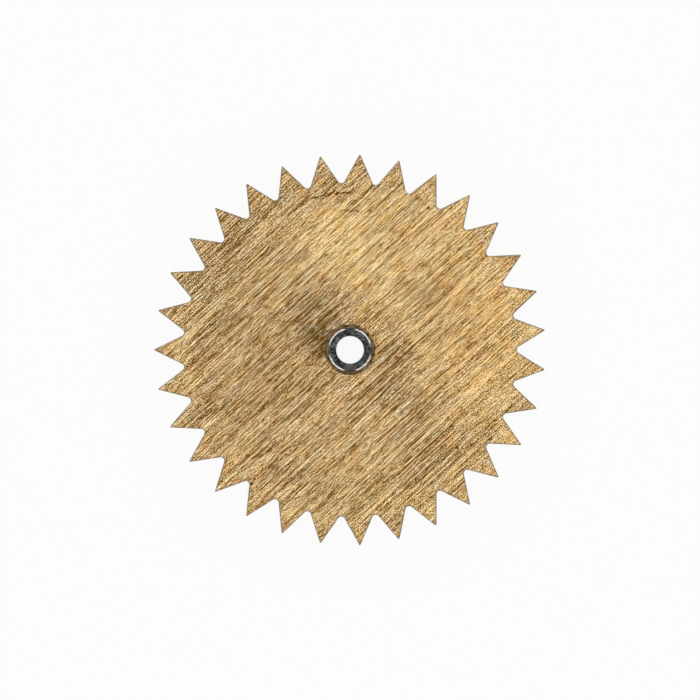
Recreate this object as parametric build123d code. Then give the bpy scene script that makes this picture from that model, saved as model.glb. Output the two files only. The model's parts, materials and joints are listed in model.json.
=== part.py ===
from build123d import *
import math
import os

# Date star wheel of a watch calendar: a flat brass star riveted to a turned steel hub.
# Sizes are in millimetres, angles in degrees, and +Z points up out of the riveted face.
# The origin is the centre of the bore, in the hub's lower face, on which the wheel lies.

# Star: one tooth for each day of the month, cut in sheet brass
TOOTH_COUNT = 31
TIP_DIAMETER = 9.20
TOOTH_ANGLE = 52.2
TIP_RADIUS = 0.018
GULLET_RADIUS = 0.085
FIRST_TOOTH_ANGLE = 180.0
PLATE_THICKNESS = 0.30
PLATE_EDGE_BREAK = 0.012

# Hub: a short steel bush with a collar below the star and a riveted spigot through it
BORE_DIAMETER = 0.65
BORE_COUNTERSINK = 0.040
BORE_EDGE_BREAK = 0.012
COLLAR_DIAMETER = 1.60
COLLAR_HEIGHT = 0.30
COLLAR_EDGE_BREAK = 0.030
SPIGOT_DIAMETER = 1.03
HEAD_STANDS_PROUD = 0.010
HEAD_BEVEL_WIDTH = 0.034
HEAD_BEVEL_DEPTH = 0.022

# Shallow dish that the riveting leaves in the star round the head: its floor, then its sloped wall
DISH_FLOOR_WIDTH = 0.037
DISH_WALL_WIDTH = 0.040
DISH_DEPTH = 0.026

PLATE_BOTTOM = COLLAR_HEIGHT
PLATE_TOP = PLATE_BOTTOM + PLATE_THICKNESS
HEAD_TOP = PLATE_TOP + HEAD_STANDS_PROUD


def polar(radius, angle):
    """The point at a radius and an angle in radians about the wheel's axis."""
    return (radius * math.cos(angle), radius * math.sin(angle))


def star_outline():
    """The toothed outline: straight flanks, a small nose on each tooth, a round gullet between."""
    flank = math.radians(TOOTH_ANGLE / 2)
    half_pitch = math.pi / TOOTH_COUNT
    # The flanks run on past the nose to a sharp point, and meet their neighbours below the gullet.
    sharp_tip = TIP_DIAMETER / 2 + TIP_RADIUS * (1 / math.sin(flank) - 1)
    sharp_gullet = sharp_tip * math.sin(flank) / math.sin(flank + half_pitch)
    points = []
    for tooth in range(TOOTH_COUNT):
        angle = math.radians(FIRST_TOOTH_ANGLE) + 2 * half_pitch * tooth
        points.append(polar(sharp_tip, angle))
        points.append(polar(sharp_gullet, angle + half_pitch))
    outline = make_face(Polyline(*points, close=True))
    corners = outline.vertices().sort_by_distance((0, 0, 0))
    outline = fillet(corners[TOOTH_COUNT:], TIP_RADIUS)
    corners = outline.vertices().sort_by_distance((0, 0, 0))
    return fillet(corners[:TOOTH_COUNT], GULLET_RADIUS)


def make_star_wheel():
    """The brass star, with its toothed edge broken on both faces and its hole dished on top."""
    plate = Pos(0, 0, PLATE_BOTTOM) * extrude(star_outline(), PLATE_THICKNESS)
    faces = plate.faces().sort_by(Axis.Z)
    plate = chamfer(faces[0].edges() + faces[-1].edges(), PLATE_EDGE_BREAK)
    hole_radius = SPIGOT_DIAMETER / 2
    hole = Pos(0, 0, PLATE_BOTTOM) * Cylinder(
        hole_radius, PLATE_THICKNESS, align=(Align.CENTER, Align.CENTER, Align.MIN)
    )
    dish = Pos(0, 0, PLATE_TOP - DISH_DEPTH) * Cone(
        hole_radius + DISH_FLOOR_WIDTH,
        hole_radius + DISH_FLOOR_WIDTH + DISH_WALL_WIDTH,
        DISH_DEPTH,
        align=(Align.CENTER, Align.CENTER, Align.MIN),
    )
    return plate - hole - dish


def make_hub():
    """The steel bush, turned as one profile about the axis: collar, spigot, bevelled head and bore."""
    bore = BORE_DIAMETER / 2
    collar = COLLAR_DIAMETER / 2
    spigot = SPIGOT_DIAMETER / 2
    profile = Polyline(
        (bore, 0, BORE_COUNTERSINK),
        (bore + BORE_COUNTERSINK, 0, 0),
        (collar - COLLAR_EDGE_BREAK, 0, 0),
        (collar, 0, COLLAR_EDGE_BREAK),
        (collar, 0, COLLAR_HEIGHT - COLLAR_EDGE_BREAK),
        (collar - COLLAR_EDGE_BREAK, 0, COLLAR_HEIGHT),
        (spigot, 0, COLLAR_HEIGHT),
        (spigot, 0, HEAD_TOP - HEAD_BEVEL_DEPTH),
        (spigot - HEAD_BEVEL_WIDTH, 0, HEAD_TOP),
        (bore + BORE_EDGE_BREAK, 0, HEAD_TOP),
        (bore, 0, HEAD_TOP - BORE_EDGE_BREAK),
        close=True,
    )
    return revolve(make_face(profile), Axis.Z)


os.makedirs("parts", exist_ok=True)
export_step(make_star_wheel(), "parts/star_wheel.step")
export_step(make_hub(), "parts/hub.step")
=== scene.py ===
import bmesh
import bpy
import json
import math
import random
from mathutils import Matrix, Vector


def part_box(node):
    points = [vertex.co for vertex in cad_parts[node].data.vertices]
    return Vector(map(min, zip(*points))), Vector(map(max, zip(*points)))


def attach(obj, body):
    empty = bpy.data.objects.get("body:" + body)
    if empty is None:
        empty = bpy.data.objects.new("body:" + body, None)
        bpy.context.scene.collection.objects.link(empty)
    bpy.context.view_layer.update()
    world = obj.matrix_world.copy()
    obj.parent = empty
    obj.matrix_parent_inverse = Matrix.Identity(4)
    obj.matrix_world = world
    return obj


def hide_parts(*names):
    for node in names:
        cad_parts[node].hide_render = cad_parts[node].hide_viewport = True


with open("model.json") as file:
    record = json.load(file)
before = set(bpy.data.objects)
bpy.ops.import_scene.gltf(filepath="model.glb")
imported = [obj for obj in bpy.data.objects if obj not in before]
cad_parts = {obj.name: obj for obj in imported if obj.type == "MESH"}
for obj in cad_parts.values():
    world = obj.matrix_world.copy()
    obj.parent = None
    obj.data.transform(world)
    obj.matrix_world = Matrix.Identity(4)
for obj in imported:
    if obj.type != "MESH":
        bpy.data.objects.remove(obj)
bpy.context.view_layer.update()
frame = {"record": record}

# Date star wheel: a brass star riveted to a steel hub, seen straight from above.
# Lengths are in metres. Inside the materials they are in millimetres, and MM is one of them.
MM = 0.001

star_low, star_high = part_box("star_wheel")
hub_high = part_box("hub")[1]
PLATE_BOTTOM = star_low.z
PLATE_TOP = star_high.z
PLATE_THICKNESS = PLATE_TOP - PLATE_BOTTOM
HEAD_TOP = hub_high.z
TIP_CIRCLE = -star_low.x
COLLAR = hub_high.x
bore_mount = next(mount for mount in frame["record"]["mounts"] if mount["name"] == "bore")
BORE = bore_mount["dims"]["r_mm"] * MM

# The photograph's frame, in which the marks are placed by pixel
IMAGE_SIDE = 700
WHEEL_CENTRE_X = 350.0
WHEEL_CENTRE_Y = 349.84
TIP_DIAMETER_PIXELS = 391.4
PIXEL = 2 * TIP_CIRCLE / TIP_DIAMETER_PIXELS

# The star's outline, hole and dish, as the CAD model cuts them
TOOTH_COUNT = 31
FLANK_ANGLE = math.radians(26.1)
TIP_RADIUS = 0.018 * MM
GULLET_RADIUS = 0.085 * MM
EDGE_BREAK = 0.012 * MM
SPIGOT = 0.515 * MM
DISH_FLOOR_WIDTH = 0.037 * MM
DISH_SLOPE_WIDTH = 0.040 * MM
DISH_FLOOR = SPIGOT + DISH_FLOOR_WIDTH
DISH_RIM = DISH_FLOOR + DISH_SLOPE_WIDTH
DISH_DEPTH = 0.026 * MM

# The least radius that a tooth's nose keeps where the outline is moved inwards
SMALLEST_NOSE = 0.003 * MM

# How much a tip is worn back at most, in millimetres, and the number that fixes the draw
TIP_WEAR = 0.010
WEAR_SEED = 31

# The hub's turned edges
BEVEL_WIDTH = 0.034 * MM
BEVEL_DEPTH = 0.022 * MM
BEVEL_CROWN = 0.0018 * MM
COLLAR_EDGE = 0.030 * MM
BORE_COUNTERSINK = 0.040 * MM
BORE_EDGE = 0.012 * MM

# How finely the round parts are divided
NOSE_STEPS = 4
FLANK_STEPS = 14
GULLET_STEPS = 6
EDGE_STEPS = 3
BEVEL_STEPS = 5
HUB_STEPS = 256

# Faces that meet at more than these angles keep a crisp edge between them
STAR_CREASE = math.radians(32)
HUB_CREASE = math.radians(20)

# The brushed grain rises to the right in the photograph
GRAIN_ANGLE = math.radians(42)

# How far in from the toothed edge its ragged darker rim can reach
RIM_WIDTH = 0.085 * MM

# How bright the surroundings are, and the background that the camera sees
WORLD_AT_HORIZON = 0.22
WORLD_OVERHEAD = 0.50
BACKGROUND = 0.95
WHITE = (1, 1, 1, 1)

# The floor, and the share of plain white in what is seen of it
FLOOR_HALF_SIDE = 0.4
FLOOR_COLOUR = (0.8, 0.8, 0.8, 1)
FLOOR_LIFT = 0.93

# The panels of light
OVERHEAD_PANEL = {
    "elevation": math.radians(90),
    "distance": 0.150,
    "width": 0.160,
    "height": 0.160,
    "radiance": 0.62,
}
SIDE_PANEL = {
    "elevation": math.radians(26),
    "distance": 0.120,
    "width": 0.120,
    "height": 0.055,
    "radiance": 1.4,
}
SIDE_PANEL_COUNT = 4

# The camera's lens and sensor in millimetres, and its reach in metres
LENS = 100
SENSOR_WIDTH = 36
NEAREST_SEEN = 0.001
FARTHEST_SEEN = 10


class Shader:
    """A material's node tree, with short ways to add nodes and to link them."""

    def __init__(self, name):
        self.material = bpy.data.materials.new(name)
        self.material.use_nodes = True
        self.tree = self.material.node_tree
        self.tree.nodes.clear()

    def node(self, kind, inputs=None, **settings):
        made = self.tree.nodes.new(kind)
        for name, value in settings.items():
            setattr(made, name, value)
        for name, value in (inputs or {}).items():
            self.feed(made.inputs[name], value)
        return made

    def feed(self, socket, value):
        if isinstance(value, bpy.types.NodeSocket):
            self.tree.links.new(value, socket)
        else:
            socket.default_value = value

    def math(self, operation, first, second=0.0, third=0.0):
        made = self.node("ShaderNodeMath", {0: first, 1: second, 2: third}, operation=operation)
        return made.outputs[0]

    def total(self, *terms):
        """The sum of the terms, each a value and the amount of it."""
        result = 0.0
        for value, amount in terms:
            result = self.math("MULTIPLY_ADD", value, amount, result)
        return result

    def ramp(self, value, stops):
        made = self.node("ShaderNodeValToRGB", {"Fac": value})
        elements = made.color_ramp.elements
        while len(elements) < len(stops):
            elements.new(0.5)
        for element, (position, colour) in zip(elements, stops):
            element.position = position
            element.color = (*colour, 1.0)
        return made.outputs["Color"]

    def mix(self, amount, first, second, way="MIX"):
        """A mix of two colours, which are the node's inputs 6 and 7 and its output 2."""
        made = self.node("ShaderNodeMix", {"Factor": amount}, data_type="RGBA", blend_type=way)
        for socket, colour in ((made.inputs[6], first), (made.inputs[7], second)):
            self.feed(socket, (*colour, 1.0) if isinstance(colour, tuple) else colour)
        return made.outputs[2]

    def range(self, value, low, high):
        """Nought where the value is at low, one where it is at high, eased between and held beyond."""
        inputs = {"Value": value, "From Min": low, "From Max": high, "To Min": 0.0, "To Max": 1.0}
        made = self.node("ShaderNodeMapRange", inputs, interpolation_type="SMOOTHSTEP")
        return made.outputs["Result"]

    def place(self):
        """The point on the object, in millimetres."""
        point = self.node("ShaderNodeTexCoord").outputs["Object"]
        made = self.node("ShaderNodeVectorMath", {0: point, "Scale": 1 / MM}, operation="SCALE")
        return made.outputs["Vector"]

    def within(self, place, centre=(0, 0, 0), turn=0.0, size=(1, 1, 1)):
        """The place as seen from a centre, along turned axes, in units of a size."""
        if not turn:
            # One plain node does this, because too many Mapping nodes turn a material black.
            scale = [1 / side for side in size]
            shift = [-part / side for part, side in zip(centre, size)]
            inputs = {0: place, 1: scale, 2: shift}
            return self.node("ShaderNodeVectorMath", inputs, operation="MULTIPLY_ADD").outputs["Vector"]
        made = self.node(
            "ShaderNodeMapping",
            {"Vector": place, "Location": centre, "Rotation": (0, 0, turn), "Scale": size},
            vector_type="TEXTURE",
        )
        return made.outputs["Vector"]

    def noise(self, vector, detail=0.0, roughness=0.5):
        """Noise between about -0.5 and 0.5, with features one unit wide."""
        made = self.node(
            "ShaderNodeTexNoise",
            {"Vector": vector, "Scale": 1.0, "Detail": detail, "Roughness": roughness},
        )
        return self.math("SUBTRACT", made.outputs["Fac"], 0.5)

    def mottle(self, place, size, turn=0.0, detail=0.0, roughness=0.5):
        """Noise at a place, with features of a size along turned axes."""
        return self.noise(self.within(place, turn=turn, size=size), detail, roughness)

    def centred(self, value):
        """A value that lies round nought, moved to the middle of a ramp."""
        return self.math("ADD", value, 0.5)

    def cells(self, vector):
        """One value for each cell about one unit wide, between -0.5 and 0.5."""
        made = self.node("ShaderNodeTexVoronoi", {"Vector": vector, "Scale": 1.0})
        parts = self.node("ShaderNodeSeparateColor", {"Color": made.outputs["Color"]})
        return self.math("SUBTRACT", parts.outputs["Red"], 0.5)

    def strayed(self, place, value, amount):
        """The place, moved along X and Y by a value."""
        moved = self.math("MULTIPLY", value, amount)
        step = self.node("ShaderNodeCombineXYZ", {"X": moved, "Y": moved}).outputs["Vector"]
        return self.node("ShaderNodeVectorMath", {0: place, 1: step}, operation="ADD").outputs["Vector"]

    def length(self, vector):
        return self.node("ShaderNodeVectorMath", {0: vector}, operation="LENGTH").outputs["Value"]

    def bump(self, height, depth):
        """A normal for a height of about one unit, which is depth metres deep."""
        made = self.node("ShaderNodeBump", {"Height": height, "Strength": 1.0, "Distance": depth})
        return made.outputs["Normal"]

    def finish(self, surface):
        out = self.node("ShaderNodeOutputMaterial")
        self.tree.links.new(surface, out.inputs["Surface"])
        return self.material


# Outlines and profiles

def arc(centre_x, centre_y, radius, start, end, steps):
    """Points along an arc, both ends included."""
    points = []
    for step in range(steps + 1):
        angle = start + (end - start) * step / steps
        points.append((centre_x + radius * math.cos(angle), centre_y + radius * math.sin(angle)))
    return points


def star_outline(inset, height, wear):
    """The toothed outline at a height, moved inwards by an inset, with each tip worn back, as a ring."""
    half_pitch = math.pi / TOOTH_COUNT
    gullet_angle = FLANK_ANGLE + half_pitch
    sharp_tip = TIP_CIRCLE + TIP_RADIUS * (1 / math.sin(FLANK_ANGLE) - 1)
    sharp_gullet = sharp_tip * math.sin(FLANK_ANGLE) / math.sin(gullet_angle)
    gullet_centre = sharp_gullet + GULLET_RADIUS / math.sin(gullet_angle)
    nose = max(TIP_RADIUS - inset, SMALLEST_NOSE)
    nose_centre = sharp_tip - (inset + nose) / math.sin(FLANK_ANGLE)
    gullet = arc(
        gullet_centre * math.cos(half_pitch),
        -gullet_centre * math.sin(half_pitch),
        GULLET_RADIUS + inset,
        math.pi - half_pitch,
        math.pi / 2 + FLANK_ANGLE,
        GULLET_STEPS,
    )
    tip = arc(nose_centre, 0, nose, FLANK_ANGLE - math.pi / 2, 0, NOSE_STEPS)
    foot, head = gullet[-1], tip[0]
    flank = []
    for step in range(1, FLANK_STEPS):
        share = step / FLANK_STEPS
        flank.append((foot[0] + (head[0] - foot[0]) * share, foot[1] + (head[1] - foot[1]) * share))
    half = gullet + flank + tip
    tooth = half + [(x, -y) for x, y in reversed(half[1:-1])]
    ring = []
    for number in range(TOOTH_COUNT):
        turn = math.pi + 2 * half_pitch * number
        for x, y in tooth:
            worn = x - wear[number] * max(0.0, (x - nose_centre) / nose)
            ring.append((
                worn * math.cos(turn) - y * math.sin(turn),
                worn * math.sin(turn) + y * math.cos(turn),
                height,
            ))
    return ring


def circle_under(ring, radius, height):
    """A circle with one point in line with each point of a ring."""
    points = []
    for x, y, _ in ring:
        share = radius / math.hypot(x, y)
        points.append((x * share, y * share, height))
    return points


def circle(radius, height):
    """A circle of the hub's divisions."""
    step = 2 * math.pi / HUB_STEPS
    return [(radius * math.cos(i * step), radius * math.sin(i * step), height) for i in range(HUB_STEPS)]


# Meshes

def skin(name, rings, looks, materials, rim=None):
    """A closed surface through a loop of rings, one look for each band after its ring."""
    mesh = bpy.data.meshes.new(name)
    shape = bmesh.new()
    rim_layer = shape.verts.layers.float.new("rim")
    rows = [[shape.verts.new(point) for point in ring] for ring in rings]
    for row, amount in zip(rows, rim or [0.0] * len(rows)):
        for vertex in row:
            vertex[rim_layer] = amount
    for index, look in enumerate(looks):
        row, following = rows[index], rows[(index + 1) % len(rows)]
        for k in range(len(row)):
            after = (k + 1) % len(row)
            face = shape.faces.new((row[k], row[after], following[after], following[k]))
            face.material_index = look
            face.smooth = True
    bmesh.ops.recalc_face_normals(shape, faces=shape.faces)
    shape.to_mesh(mesh)
    shape.free()
    for material in materials:
        mesh.materials.append(material)
    piece = bpy.data.objects.new(name, mesh)
    bpy.context.scene.collection.objects.link(piece)
    return piece


def flat_where_flat(piece, angle):
    """Faces that meet at more than an angle keep a crisp edge between them."""
    mesh = piece.data
    shape = bmesh.new()
    shape.from_mesh(mesh)
    for edge in shape.edges:
        edge.smooth = edge.calc_face_angle(0.0) < angle
    shape.to_mesh(mesh)
    shape.free()


def make_star():
    """The brass star, finer than its CAD node, with rounded edges and slightly worn tips."""
    draw = random.Random(WEAR_SEED)
    wear = [draw.uniform(0.0, TIP_WEAR) * MM for _ in range(TOOTH_COUNT)]
    face, edge, seat = 0, 1, 2
    rings, looks, rim = [], [], []

    def add(ring, look, amount=0.0):
        rings.append(ring)
        looks.append(look)
        rim.append(amount)

    def add_rounded_edge(level, inwards, shares):
        """The rings of one rounded edge, from the flat at a level to the wall or back."""
        for share in shares:
            turn = math.pi / 2 * share
            inset = EDGE_BREAK * (1 - math.sin(turn))
            height = level + inwards * (1 - math.cos(turn))
            add(star_outline(inset, height, wear), edge, 1.0)

    outline = star_outline(0, PLATE_TOP, wear)
    shares = [step / EDGE_STEPS for step in range(EDGE_STEPS + 1)]
    add(circle_under(outline, DISH_RIM, PLATE_TOP), face)
    add(circle_under(outline, 2 * DISH_RIM, PLATE_TOP), face)
    add(star_outline(RIM_WIDTH, PLATE_TOP, wear), face)
    add_rounded_edge(PLATE_TOP, -EDGE_BREAK, shares)
    add_rounded_edge(PLATE_BOTTOM, EDGE_BREAK, reversed(shares))
    # The band after the last ring of the lower edge is already the flat underside.
    looks[-1] = face
    add(star_outline(RIM_WIDTH, PLATE_BOTTOM, wear), face)
    add(circle_under(outline, SPIGOT, PLATE_BOTTOM), seat)
    add(circle_under(outline, SPIGOT, PLATE_TOP - DISH_DEPTH), seat)
    add(circle_under(outline, DISH_FLOOR, PLATE_TOP - DISH_DEPTH), seat)
    star = skin("date_star", rings, looks, [brass_face(), brass_edge(), shaded_brass_seat()], rim)
    flat_where_flat(star, STAR_CREASE)
    return star


def make_hub():
    """The steel hub, turned in one piece, with its edges rounded where they catch the light."""
    head, bevel, turned, bore = 0, 1, 2, 3
    profile = [(BORE + BORE_EDGE, HEAD_TOP, head)]
    # The bevel is slightly crowned: it steepens towards the rim, so only its middle catches the light.
    for step in range(BEVEL_STEPS):
        share = step / BEVEL_STEPS
        crown = BEVEL_CROWN * 4 * share * (1 - share)
        profile.append((SPIGOT - BEVEL_WIDTH * (1 - share), HEAD_TOP - BEVEL_DEPTH * share + crown, bevel))
    profile += [
        (SPIGOT, HEAD_TOP - BEVEL_DEPTH, turned),
        (SPIGOT, PLATE_BOTTOM, turned),
        (COLLAR - COLLAR_EDGE, PLATE_BOTTOM, turned),
        (COLLAR, PLATE_BOTTOM - COLLAR_EDGE, turned),
        (COLLAR, COLLAR_EDGE, turned),
        (COLLAR - COLLAR_EDGE, 0.0, turned),
        (BORE + BORE_COUNTERSINK, 0.0, bore),
        (BORE, BORE_COUNTERSINK, bore),
        (BORE, HEAD_TOP - BORE_EDGE, bore),
    ]
    rings = [circle(radius, height) for radius, height, _ in profile]
    looks = [look for _, _, look in profile]
    hub = skin("riveted_hub", rings, looks, [steel_head(), steel_bevel(), steel_turned(), steel_bore()])
    flat_where_flat(hub, HUB_CREASE)
    return hub


# Materials

def principled(shader, colour, roughness, normal=None, anisotropic=0.0, tangent=None):
    """A metal surface from its colour, roughness and normal."""
    inputs = {"Base Color": colour, "Roughness": roughness, "Metallic": 1.0, "Anisotropic": anisotropic}
    if normal:
        inputs["Normal"] = normal
    if tangent:
        inputs["Tangent"] = tangent
    return shader.node("ShaderNodeBsdfPrincipled", inputs).outputs["BSDF"]


# Brass from tarnished to bright
BRASS_TONES = [
    (0.00, (0.115, 0.052, 0.006)),
    (0.15, (0.235, 0.123, 0.026)),
    (0.35, (0.385, 0.222, 0.072)),
    (0.50, (0.510, 0.306, 0.118)),
    (0.65, (0.667, 0.435, 0.197)),
    (0.85, (0.930, 0.680, 0.360)),
    (1.00, (1.000, 0.840, 0.515)),
]

# The tone where no grain, area or mark adds to it
MEAN_TONE = 0.495

# The brass's hue as a whole, as shares of the green and blue above
GREEN_SHARE = 0.945
BLUE_SHARE = 0.875

# How much green and blue the brass loses where broad tones and long streaks are brighter
GREEN_LOSS = 0.15
BLUE_LOSS = 0.50

# How many columns of an area place it, before its amounts
PLACING_COLUMNS = 5

# Broad areas of tarnish and of painted light and shade: x, y, half length, half width in pixels, turn in
# degrees, lightness
TARNISH_AND_PAINTED_LIGHT_AREAS = [
    (358, 245, 110, 80, 0, 0.12),
    (460, 212, 80, 50, 35, 0.14),
    (445, 250, 50, 18, 40, 0.08),
    (505, 300, 90, 110, 0, 0.11),
    (485, 388, 90, 40, 40, 0.12),
    (318, 320, 50, 54, 40, -0.24),
    (332, 342, 34, 30, 0, -0.28),
    (385, 365, 50, 60, 0, -0.12),
    (397, 352, 20, 34, 0, -0.16),
    (385, 388, 32, 24, 0, -0.14),
    (410, 400, 30, 22, 0, -0.07),
    (330, 374, 24, 16, 40, -0.08),
    (245, 330, 150, 150, 0, -0.10),
    (215, 408, 44, 28, 0, -0.11),
    (298, 400, 44, 16, 45, -0.17),
    (285, 475, 30, 24, 0, -0.12),
    (325, 425, 140, 80, 20, -0.08),
    (432, 462, 60, 26, 40, -0.18),
    (235, 240, 90, 45, 50, -0.14),
    (335, 182, 110, 30, 0, -0.12),
    (200, 330, 28, 90, 0, -0.04),
    (290, 203, 30, 22, 0, -0.14),
    (285, 255, 34, 24, 0, -0.10),
    (245, 400, 34, 24, 0, -0.10),
    (275, 440, 30, 20, 30, -0.10),
    (305, 480, 30, 30, 0, -0.12),
    (335, 500, 40, 20, 0, -0.10),
    (420, 425, 60, 22, 30, -0.16),
    (186, 365, 18, 60, 0, 0.14),
    (507, 435, 20, 25, 40, 0.18),
    (440, 512, 30, 14, -30, 0.12),
    (457, 282, 26, 20, 0, 0.10),
    (255, 302, 26, 16, 30, 0.08),
    (350, 283, 26, 18, 0, 0.08),
    (345, 437, 26, 18, 0, 0.10),
    (462, 352, 30, 30, 0, 0.06),
    (285, 215, 24, 26, 40, -0.09),
    (300, 285, 26, 16, 40, -0.10),
    (322, 338, 20, 16, 0, -0.20),
    (400, 402, 32, 24, 0, -0.13),
    (405, 440, 28, 20, 0, -0.10),
    (300, 482, 24, 24, 0, -0.07),
    (365, 520, 36, 14, 0, -0.09),
    (255, 450, 30, 16, 0, -0.06),
    (192, 396, 14, 20, 0, 0.12),
    (183, 300, 14, 40, 0, 0.07),
    (380, 338, 16, 24, 0, 0.20),
    (368, 322, 14, 12, 0, 0.10),
    (505, 460, 26, 26, 0, 0.09),
    (530, 400, 16, 32, 0, 0.10),
    (390, 190, 32, 14, 0, -0.06),
    (350, 349, 60, 60, 0, -0.12),
    (352, 392, 24, 24, 0, -0.07),
    (395, 395, 30, 24, 0, -0.05),
    (300, 270, 26, 22, 0, -0.06),
    (347, 482, 26, 16, 0, -0.07),
    (345, 325, 12, 10, 0, -0.12),
    (374, 408, 16, 14, 0, -0.10),
]

# Areas of another hue: x, y, half length, half width in pixels, turn in degrees, more green, more blue
HUE_AREAS = [
    (470, 330, 80, 110, 0, -0.04, -0.08),
    (345, 245, 60, 45, 0, 0.03, 0.03),
    (200, 280, 50, 90, 20, 0.05, 0.10),
    (318, 326, 42, 42, 0, 0.07, 0.19),
    (345, 500, 90, 30, 10, 0.04, 0.04),
]

# The small patches of another hue: the size in mm of the largest, and how broken up they are
HUE_PATCH = (0.50, 0.30, 0.30)
HUE_DETAIL = 4.0
HUE_ROUGHNESS = 0.8

# The patches that drift in both colours, and others, from elsewhere in the noise, that tarnish the blue
DRIFT_START = (0, 0, 0)
TARNISH_START = (0, 0, 9)
DRIFT_IN_GREEN = 0.70
DRIFT_IN_BLUE = 1.40
TARNISH_IN_BLUE = 0.70

# Layers of soft streaks: length and width of a streak in mm, turn in degrees, lightness, tint, height
SOFT_LAYERS = [
    (2.00, 0.022, 0.0, 0.60, 0.8, 1.0),
    (0.50, 0.022, 0.0, 0.50, 0.3, 0.5),
    (0.028, 0.022, 0.0, 3.30, 0.0, 0.2),
]

# Layers of sharp streaks, in the same columns
SHARP_LAYERS = [
    (2.00, 0.014, 0.3, 0.85, 0.3, 0.3),
    (0.50, 0.014, 0.0, 0.70, 0.1, 0.2),
    (0.12, 0.015, 0.5, 0.90, 0.0, 0.1),
]

# The grain's depth in mm: both faces lie whole numbers of it up, where the noise has no broad blotches
GRAIN_DEPTH = 0.1

# Scratches, specks and single bright streaks, in the columns of the areas of tarnish and painted light
MARKS = [
    (317, 197, 18, 1.6, 11, -0.80),
    (342, 193, 24, 1.6, 2, -0.80),
    (354, 211, 22, 1.6, -3, -0.75),
    (370, 211, 5, 3, 0, -0.80),
    (314, 226, 16, 1.7, 31, -0.75),
    (327, 255, 4, 2, 40, -0.80),
    (264, 306, 4, 2.4, 40, -0.80),
    (377, 303, 3, 2.4, 0, -0.80),
    (380, 245, 4, 2, 40, -0.75),
    (428, 208, 3.4, 2.4, 0, -0.80),
    (420, 200, 3, 2, 0, -0.75),
    (457, 448, 2.6, 2.4, 0, -2.00),
    (385, 405, 4, 2.4, 0, -0.80),
    (399, 474, 4, 2, 40, -0.80),
    (252, 484, 4, 2.6, 0, -0.80),
    (490, 439, 4, 2.6, 0, -0.90),
    (360, 506, 20, 9, 30, -0.22),
    (448, 216, 36, 2.4, 38, 0.55),
    (286, 429, 32, 2.2, 36, 0.50),
    (286, 490, 12, 2, 34, 0.50),
    (465, 402, 70, 9, 38, 0.08),
    (300, 397, 80, 10, 36, 0.12),
]

# The brown stain on the hub's head, below the bore in the photo, with its strength in the last column
HEAD_STAINS = [
    (350, 369, 9, 9, 0, 1.0),
]

# Painted shade that dulls the head's bevel in the four gaps between its lit arcs, and at the bottom
# the brown stain carried over it, in the same columns as that stain
BEVEL_SHADE_AND_STAINS = [
    (350.5, 328.5, 7, 5, 0, 1.3),
    (350, 371.5, 9, 6, 0, 1.3),
    (328, 351, 5, 7, 0, 1.0),
    (372, 350, 5, 7, 0, 1.0),
]

# The sizes in mm of the noises on the brass face
WANDER_SIZE = (0.5, 0.5, 0.5)
TREMBLE_SIZE = (0.08, 0.08, 0.08)
CLOUD_SIZE = (2.4, 0.6, 0.3)
PATCH_SIZE = (0.06, 0.06, 0.06)

# The shift in mm that one unit of the wander gives the areas' outlines, and of the tremble the marks'
AREA_STRAY = 0.5
MARK_STRAY = 0.06

# How much the clouds and the areas add to the tone, and how much of that the tint takes up
CLOUD_SHARE = 0.15
AREA_SHARE = 1.38
TINT_SHARE = 1.15

# The darker rim along the toothed edge: its patches and the nearness to the edge add up. It starts where
# they reach
# RIM_DARK_STARTS, hides the brass at RIM_DARK_COVERS, and fades where the nearness falls below RIM_FADE.
PATCH_REACH = 1.9
EDGE_REACH = 0.80
RIM_DARK_STARTS = 0.45
RIM_DARK_COVERS = 0.95
RIM_FADE = 0.3
FACE_RIM_DARK = (0.220, 0.192, 0.155)

# The face's finish
FACE_ROUGHNESS = 0.34
CLOUD_POLISH = 0.1
GRAIN_BUMP = 0.0018 * MM
GRAIN_ANISOTROPY = 0.5

# The tooth walls: upright marks of the cutter, and stains
CUT_SIZE = (0.03, 0.03, 0.5)
EDGE_STAIN_SIZE = (0.2, 0.2, 0.2)
EDGE_TONES = [
    (0.2, (0.26, 0.16, 0.055)),
    (0.5, (0.44, 0.29, 0.125)),
    (0.8, (0.60, 0.42, 0.20)),
]
CUT_SHARE = 0.6
EDGE_STAIN_SHARE = 0.8
EDGE_BREAK_DARK = (0.34, 0.265, 0.165)
CUT_BUMP = 0.0015 * MM
EDGE_ROUGHNESS = 0.36

# The brass in the dish and in the star's hole, painted dark as the shade of that recess
SEAT_STAIN_SIZE = (0.12, 0.12, 0.12)
SEAT_SHADE_TONES = [
    (0.3, (0.03, 0.020, 0.012)),
    (0.7, (0.26, 0.175, 0.088)),
]
SEAT_ROUGHNESS = 0.4

# The riveted head: steel painted near black as a painted reflection of the dark camera above, with grey
# specks
HEAD_FINE_SIZE = (0.03, 0.03, 0.03)
HEAD_BROAD_SIZE = (0.14, 0.14, 0.14)
HEAD_SPECKS_AND_DARK_REFLECTION_TONES = [
    (0.1, (0.006, 0.008, 0.009)),
    (0.5, (0.034, 0.040, 0.038)),
    (0.9, (0.18, 0.19, 0.18)),
]
HEAD_STAIN_TONES = [
    (0.1, (0.050, 0.040, 0.032)),
    (0.9, (0.130, 0.112, 0.095)),
]
HEAD_FINE_SHARE = 3.2
HEAD_BROAD_SHARE = 1.2
HEAD_STAIN_RANGE = (0.15, 0.45)
HEAD_BUMP = 0.002 * MM
HEAD_ROUGHNESS = 0.38

# The head's bevel: bright steel
BEVEL_FINE_SIZE = (0.04, 0.04, 0.04)
BEVEL_TONES = [
    (0.3, (0.18, 0.17, 0.15)),
    (0.55, (0.60, 0.58, 0.55)),
]
BEVEL_SHADE_AND_STAIN_TONES = [
    (0.35, (0.040, 0.040, 0.040)),
    (0.6, (0.22, 0.21, 0.20)),
]
BEVEL_SHADE_AND_STAIN_RANGE = (0.0, 0.8)
BEVEL_ROUGHNESS = 0.16

# The shift in mm that one unit of noise gives the outlines of the stains and of the painted shade on the
# bevel
STAIN_STRAY = 0.2

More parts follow.
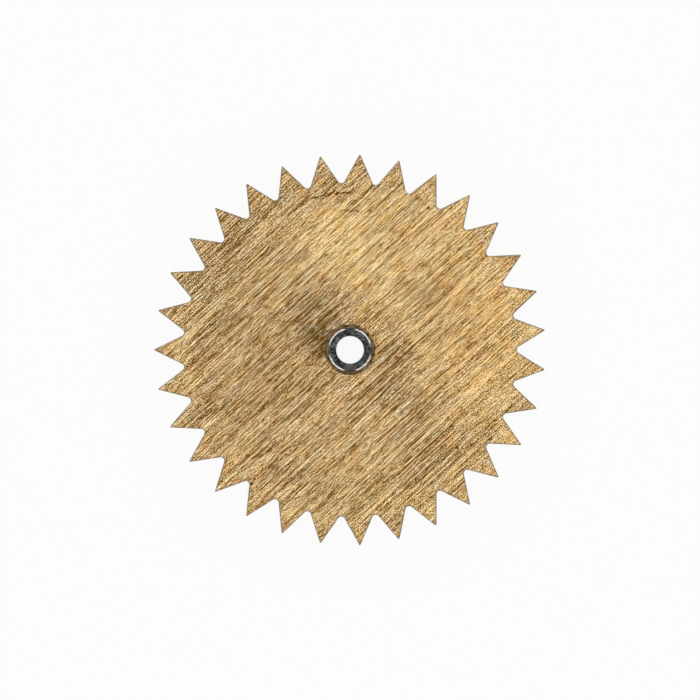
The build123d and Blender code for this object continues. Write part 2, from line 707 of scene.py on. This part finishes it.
# The turned steel of the spigot and the collar, with lines round its sides
TURNED_SIZE = (0.3, 0.3, 0.012)
TURNED_TONES = [
    (0.2, (0.28, 0.27, 0.26)),
    (0.8, (0.5, 0.49, 0.48)),
]
TURNED_BUMP = 0.001 * MM
TURNED_ROUGHNESS = 0.3

# The bore's steel
BORE_SIZE = (0.08, 0.08, 0.02)
BORE_TONES = [
    (0.2, (0.10, 0.095, 0.09)),
    (0.8, (0.3, 0.29, 0.28)),
]
BORE_ROUGHNESS = 0.3


def grain(shader, place):
    """The brushed grain as a lightness, a tint and a height, in layers of streaks down to specks."""
    sums = [0.0, 0.0, 0.0]
    for pattern, layers in ((shader.noise, SOFT_LAYERS), (shader.cells, SHARP_LAYERS)):
        for length, width, turn, *shares in layers:
            along = GRAIN_ANGLE + math.radians(turn)
            lines = pattern(shader.within(place, turn=along, size=(length, width, GRAIN_DEPTH)))
            sums = [shader.math("MULTIPLY_ADD", lines, share, part) for share, part in zip(shares, sums)]
    return sums


def pixel_place(x, y):
    """A place in the photograph on the top face, in millimetres."""
    step = PIXEL / MM
    return ((x - WHEEL_CENTRE_X) * step, (WHEEL_CENTRE_Y - y) * step, PLATE_TOP / MM)


def area(shader, place, x, y, half_length, half_width, turn):
    """One in the middle of an oval on the top face, falling softly to nought at its edge."""
    step = PIXEL / MM
    size = (half_length * step, half_width * step, PLATE_THICKNESS / MM / 2)
    seen = shader.within(place, pixel_place(x, y), math.radians(turn), size)
    return shader.range(shader.length(seen), 1.0, 0.0)


def painted(shader, place, areas):
    """The sums of the areas' amounts at a place, one sum for each column of amounts."""
    sums = [0.0] * (len(areas[0]) - PLACING_COLUMNS)
    for x, y, half_length, half_width, turn, *amounts in areas:
        spot = area(shader, place, x, y, half_length, half_width, turn)
        sums = [shader.math("MULTIPLY_ADD", spot, amount, part) for amount, part in zip(amounts, sums)]
    return sums


def brass_hue(shader, place, strayed, tint):
    """The brass's change of hue from place to place, as a colour to multiply by."""
    green, blue = painted(shader, strayed, HUE_AREAS)
    drift, tarnish = [
        shader.noise(shader.within(place, start, GRAIN_ANGLE, HUE_PATCH), HUE_DETAIL, HUE_ROUGHNESS)
        for start in (DRIFT_START, TARNISH_START)
    ]
    green = shader.total((drift, DRIFT_IN_GREEN), (tint, -GREEN_LOSS), (green, 1.0))
    green = shader.math("ADD", green, GREEN_SHARE)
    blue = shader.total(
        (drift, DRIFT_IN_BLUE),
        (tarnish, TARNISH_IN_BLUE),
        (tint, -BLUE_LOSS),
        (blue, 1.0),
    )
    blue = shader.math("ADD", blue, BLUE_SHARE)
    return shader.node("ShaderNodeCombineXYZ", {"X": 1.0, "Y": green, "Z": blue}).outputs["Vector"]


def brass_face():
    """The brushed faces, with areas of tarnish and of painted light and shade, marks and a dark ragged
    rim.
    """
    shader = Shader("brass_face")
    place = shader.place()
    light, tint, height = grain(shader, place)
    wander = shader.mottle(place, WANDER_SIZE, detail=2.0)
    tremble = shader.mottle(place, TREMBLE_SIZE, detail=1.0)
    cloud = shader.mottle(place, CLOUD_SIZE, GRAIN_ANGLE, detail=1.0)
    broadly = shader.strayed(place, wander, AREA_STRAY)
    # The broad areas add tarnish, and painted light and shade, to the tone.
    areas = painted(shader, broadly, TARNISH_AND_PAINTED_LIGHT_AREAS)[0]
    marks = painted(shader, shader.strayed(place, tremble, MARK_STRAY), MARKS)[0]
    broad_tone = shader.total((cloud, CLOUD_SHARE), (areas, AREA_SHARE))
    tone = shader.total((light, 1.0), (broad_tone, 1.0), (marks, 1.0))
    tint = shader.math("MULTIPLY_ADD", broad_tone, TINT_SHARE, tint)
    colour = shader.ramp(shader.math("ADD", tone, MEAN_TONE), BRASS_TONES)
    colour = shader.mix(1.0, colour, brass_hue(shader, place, broadly, tint), "MULTIPLY")
    patches = shader.mottle(place, PATCH_SIZE, detail=2.0, roughness=0.8)
    rim = shader.node("ShaderNodeAttribute", attribute_name="rim").outputs["Fac"]
    reach = shader.total((patches, PATCH_REACH), (rim, EDGE_REACH))
    darkening = shader.range(reach, RIM_DARK_STARTS, RIM_DARK_COVERS)
    darkening = shader.math("MULTIPLY", darkening, shader.range(rim, 0.0, RIM_FADE))
    colour = shader.mix(darkening, colour, FACE_RIM_DARK)
    rough = shader.math("MULTIPLY_ADD", cloud, -CLOUD_POLISH, FACE_ROUGHNESS)
    along = {"X": math.cos(GRAIN_ANGLE), "Y": math.sin(GRAIN_ANGLE)}
    tangent = shader.node("ShaderNodeCombineXYZ", along).outputs["Vector"]
    normal = shader.bump(height, GRAIN_BUMP)
    return shader.finish(principled(shader, colour, rough, normal, GRAIN_ANISOTROPY, tangent))


def brass_edge():
    """The tooth walls and their broken edges."""
    shader = Shader("brass_edge")
    place = shader.place()
    cut = shader.mottle(place, CUT_SIZE, detail=2.0)
    stain = shader.mottle(place, EDGE_STAIN_SIZE, detail=3.0)
    tone = shader.centred(shader.total((cut, CUT_SHARE), (stain, EDGE_STAIN_SHARE)))
    colour = shader.ramp(tone, EDGE_TONES)
    # The broken edges above and below the wall are darker.
    height = shader.node("ShaderNodeSeparateXYZ", {"Vector": place}).outputs["Z"]
    middle = (PLATE_BOTTOM + PLATE_THICKNESS / 2) / MM
    off_middle = shader.math("ABSOLUTE", shader.math("SUBTRACT", height, middle))
    break_size = EDGE_BREAK / MM
    wall_end = PLATE_THICKNESS / 2 / MM - break_size
    darkening = shader.range(off_middle, wall_end - break_size, wall_end + break_size / 2)
    colour = shader.mix(darkening, colour, EDGE_BREAK_DARK)
    return shader.finish(principled(shader, colour, EDGE_ROUGHNESS, shader.bump(cut, CUT_BUMP)))


def shaded_brass_seat():
    """The brass round the hub, painted dark as the shade in its dish."""
    shader = Shader("shaded_brass_seat")
    stain = shader.mottle(shader.place(), SEAT_STAIN_SIZE, detail=3.0)
    # The dark tones are painted shade in the dish round the hub.
    colour = shader.ramp(shader.centred(stain), SEAT_SHADE_TONES)
    return shader.finish(principled(shader, colour, SEAT_ROUGHNESS))


def stain_and_shade_mask(shader, place, noise, areas, low, high):
    """How much stain, and on the bevel painted shade, a place on the hub has, from nought to one, with
    ragged outlines.
    """
    ragged = shader.strayed(place, noise, STAIN_STRAY)
    return shader.range(painted(shader, ragged, areas)[0], low, high)


def steel_head():
    """The hub's riveted head, painted dark as a reflection of the dark camera above it."""
    shader = Shader("steel_head")
    place = shader.place()
    fine = shader.mottle(place, HEAD_FINE_SIZE, detail=3.0, roughness=0.7)
    broad = shader.mottle(place, HEAD_BROAD_SIZE, detail=2.0)
    tone = shader.centred(shader.total((fine, HEAD_FINE_SHARE), (broad, HEAD_BROAD_SHARE)))
    # The dark tones are a painted reflection of the dark camera above the head.
    clean = shader.ramp(tone, HEAD_SPECKS_AND_DARK_REFLECTION_TONES)
    stain = stain_and_shade_mask(shader, place, broad, HEAD_STAINS, *HEAD_STAIN_RANGE)
    colour = shader.mix(stain, clean, shader.ramp(tone, HEAD_STAIN_TONES))
    return shader.finish(principled(shader, colour, HEAD_ROUGHNESS, shader.bump(fine, HEAD_BUMP)))


def steel_bevel():
    """The bright bevel round the head, dulled by painted shade between its lit arcs and by a stain below
    the bore.
    """
    shader = Shader("steel_bevel")
    place = shader.place()
    fine = shader.mottle(place, BEVEL_FINE_SIZE, detail=2.0)
    tone = shader.centred(fine)
    clean = shader.ramp(tone, BEVEL_TONES)
    # Here the stain mask is mostly painted shade, in the four gaps between the bevel's lit arcs.
    stain = stain_and_shade_mask(shader, place, fine, BEVEL_SHADE_AND_STAINS, *BEVEL_SHADE_AND_STAIN_RANGE)
    colour = shader.mix(stain, clean, shader.ramp(tone, BEVEL_SHADE_AND_STAIN_TONES))
    return shader.finish(principled(shader, colour, BEVEL_ROUGHNESS))


def steel_turned():
    """The turned spigot and collar."""
    shader = Shader("steel_turned")
    fine = shader.mottle(shader.place(), TURNED_SIZE, detail=2.0)
    colour = shader.ramp(shader.centred(fine), TURNED_TONES)
    return shader.finish(principled(shader, colour, TURNED_ROUGHNESS, shader.bump(fine, TURNED_BUMP)))


def steel_bore():
    """The bore, its countersink and its upper edge."""
    shader = Shader("steel_bore")
    fine = shader.mottle(shader.place(), BORE_SIZE, detail=2.0)
    colour = shader.ramp(shader.centred(fine), BORE_TONES)
    return shader.finish(principled(shader, colour, BORE_ROUGHNESS))


# Floor, light and camera

def make_floor():
    """A pale floor under the wheel, which shows its soft shadow and nothing from below."""
    shader = Shader("pale_floor")
    path = shader.node("ShaderNodeLightPath")
    seen = shader.math("MAXIMUM", path.outputs["Is Camera Ray"], path.outputs["Is Glossy Ray"])
    seen = shader.math("MAXIMUM", seen, path.outputs["Is Transmission Ray"])
    paper = shader.node("ShaderNodeBsdfDiffuse", {"Color": FLOOR_COLOUR}).outputs["BSDF"]
    white = shader.node("ShaderNodeEmission", {"Color": WHITE, "Strength": 1.0}).outputs["Emission"]
    lift = shader.math("MULTIPLY", seen, FLOOR_LIFT)
    mixed = shader.node("ShaderNodeMixShader", {0: lift, 1: paper, 2: white}).outputs["Shader"]
    clear = shader.node("ShaderNodeBsdfTransparent").outputs["BSDF"]
    behind = shader.node("ShaderNodeNewGeometry").outputs["Backfacing"]
    surface = shader.node("ShaderNodeMixShader", {0: behind, 1: mixed, 2: clear}).outputs["Shader"]
    shader.finish(surface)
    half = FLOOR_HALF_SIDE
    mesh = bpy.data.meshes.new("floor")
    corners = [(-half, -half, 0), (half, -half, 0), (half, half, 0), (-half, half, 0)]
    mesh.from_pydata(corners, [], [(0, 1, 2, 3)])
    mesh.materials.append(shader.material)
    floor = bpy.data.objects.new("floor", mesh)
    bpy.context.scene.collection.objects.link(floor)


def make_world():
    """Pale light that grows from the horizon up, with a white background behind the wheel."""
    world = bpy.data.worlds.new("studio")
    world.use_nodes = True
    nodes, links = world.node_tree.nodes, world.node_tree.links
    nodes.clear()
    out = nodes.new("ShaderNodeOutputWorld")
    path = nodes.new("ShaderNodeLightPath")
    way = nodes.new("ShaderNodeSeparateXYZ")
    links.new(nodes.new("ShaderNodeTexCoord").outputs["Generated"], way.inputs[0])
    rise = nodes.new("ShaderNodeMapRange")
    rise.inputs["To Min"].default_value = WORLD_AT_HORIZON
    rise.inputs["To Max"].default_value = WORLD_OVERHEAD
    links.new(way.outputs["Z"], rise.inputs["Value"])
    lit = nodes.new("ShaderNodeBackground")
    links.new(rise.outputs["Result"], lit.inputs["Strength"])
    lit.inputs["Color"].default_value = WHITE
    shown = nodes.new("ShaderNodeBackground")
    shown.inputs["Color"].default_value = WHITE
    shown.inputs["Strength"].default_value = BACKGROUND
    mixed = nodes.new("ShaderNodeMixShader")
    links.new(path.outputs["Is Camera Ray"], mixed.inputs[0])
    links.new(lit.outputs[0], mixed.inputs[1])
    links.new(shown.outputs[0], mixed.inputs[2])
    links.new(mixed.outputs[0], out.inputs["Surface"])
    bpy.context.scene.world = world


def add_panel(name, azimuth, elevation, distance, width, height, radiance):
    """A soft light that faces the wheel, with its directions in radians and its sizes in metres."""
    light = bpy.data.lights.new(name, "AREA")
    light.shape = "RECTANGLE"
    light.size = width
    light.size_y = height
    light.energy = radiance * math.pi * width * height
    lamp = bpy.data.objects.new(name, light)
    across = math.cos(elevation)
    way = (across * math.cos(azimuth), across * math.sin(azimuth), math.sin(elevation))
    lamp.location = [distance * w for w in way]
    lamp.rotation_euler = lamp.location.to_track_quat("Z", "Y").to_euler()
    bpy.context.scene.collection.objects.link(lamp)


def light_studio():
    """One large soft light overhead and four low ones on the diagonals."""
    add_panel("overhead", 0.0, **OVERHEAD_PANEL)
    turn = 360 / SIDE_PANEL_COUNT
    for number in range(SIDE_PANEL_COUNT):
        azimuth = math.radians(turn / 2 + turn * number)
        add_panel(f"side_{number}", azimuth, **SIDE_PANEL)


def add_camera():
    """A camera straight above, framed as the photograph is."""
    data = bpy.data.cameras.new("camera")
    data.lens = LENS
    data.sensor_width = SENSOR_WIDTH
    data.clip_start = NEAREST_SEEN
    data.clip_end = FARTHEST_SEEN
    camera = bpy.data.objects.new("camera", data)
    view_width = PIXEL * IMAGE_SIDE
    distance = view_width * data.lens / data.sensor_width
    offset_y = (WHEEL_CENTRE_Y - IMAGE_SIDE / 2) * PIXEL
    camera.location = ((IMAGE_SIDE / 2 - WHEEL_CENTRE_X) * PIXEL, offset_y, PLATE_TOP + distance)
    bpy.context.scene.collection.objects.link(camera)
    bpy.context.scene.camera = camera


bpy.context.scene.view_settings.view_transform = "Standard"
add_camera()
make_floor()
make_world()
light_studio()
star = make_star()
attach(star, "root")
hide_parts("star_wheel")
hub = make_hub()
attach(hub, "root")
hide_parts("hub")
